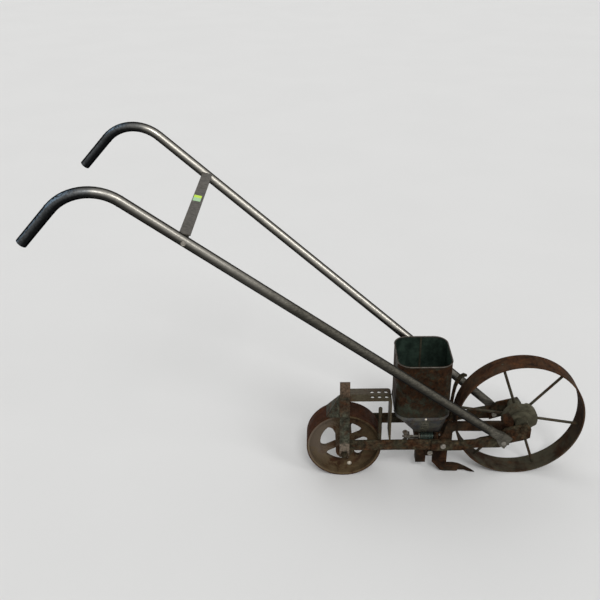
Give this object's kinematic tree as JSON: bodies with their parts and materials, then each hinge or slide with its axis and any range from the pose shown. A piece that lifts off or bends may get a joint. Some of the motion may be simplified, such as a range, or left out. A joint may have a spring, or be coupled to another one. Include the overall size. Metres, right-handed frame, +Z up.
{
  "type": "seed drill",
  "caption": "Hand-pushed single-row seed drill: spoked drive wheel, press wheel, sheet hopper on a bar frame and two bent tube handles.",
  "frame": {"origin": "on the ground, midway between the front of the drive wheel and the grip ends, on the middle plane", "axes": "+X the way it travels, +Y its left side, +Z up"},
  "size_m": [1.566, 0.6284, 1.08],
  "materials": {
    "hoop_rust": "satin",
    "spoke_steel": "satin",
    "hub_cast": "matte",
    "bright_tube": "satin",
    "rail_rust": "matte",
    "post_patina": "matte",
    "press_wheel": "matte",
    "hopper_paint": "satin",
    "bowl_grey": "satin",
    "dark_iron": "matte",
    "spring_teal": "satin",
    "bolt_steel": "satin",
    "brace_grey": "satin"
  },
  "bodies": {
    "frame": {"front_axle": "rail_rust", "rear_axle": "rail_rust", "rear_rail_right": "rail_rust", "rear_rail_left": "rail_rust", "front_rail_right": "rail_rust", "front_rail_left": "rail_rust", "rear_post_right": "post_patina", "rear_post_left": "post_patina", "depth_strap": "post_patina", "upright_pin": "spoke_steel", "wheel_scraper": "post_patina", "front_scraper": "rail_rust", "front_bracket_right": "dark_iron", "front_bracket_left": "rail_rust", "frame_bolts": "bolt_steel", "handle_bolts": "bolt_steel", "feed_body": "dark_iron", "hopper_can": "hopper_paint", "hopper_bowl": "bowl_grey", "seed_spout": "dark_iron", "opener_shoe": "dark_iron", "feed_rod": "dark_iron", "feed_rocker": "dark_iron", "shutoff_bracket": "bolt_steel", "shutoff_rod": "bolt_steel", "shutoff_spring": "spring_teal", "wing_nut": "bolt_steel", "handle_right": "bright_tube", "handle_left": "bright_tube", "handle_brace": "brace_grey", "brace_bolts": "bolt_steel"},
    "front_wheel": {"front_rim": "hoop_rust", "front_spokes": "spoke_steel", "front_hub": "hub_cast"},
    "rear_wheel": {"rear_wheel": "press_wheel"}
  },
  "joints": [
    {"name": "front_wheel_spin", "type": "hinge", "parent": "frame", "child": "front_wheel", "pos_m": [0.57703, 0, 0.206], "axis": [0, 1, 0], "continuous": true},
    {"name": "rear_wheel_spin", "type": "hinge", "parent": "frame", "child": "rear_wheel", "pos_m": [0.01703, 0, 0.12], "axis": [0, 1, 0], "continuous": true}
  ]
}
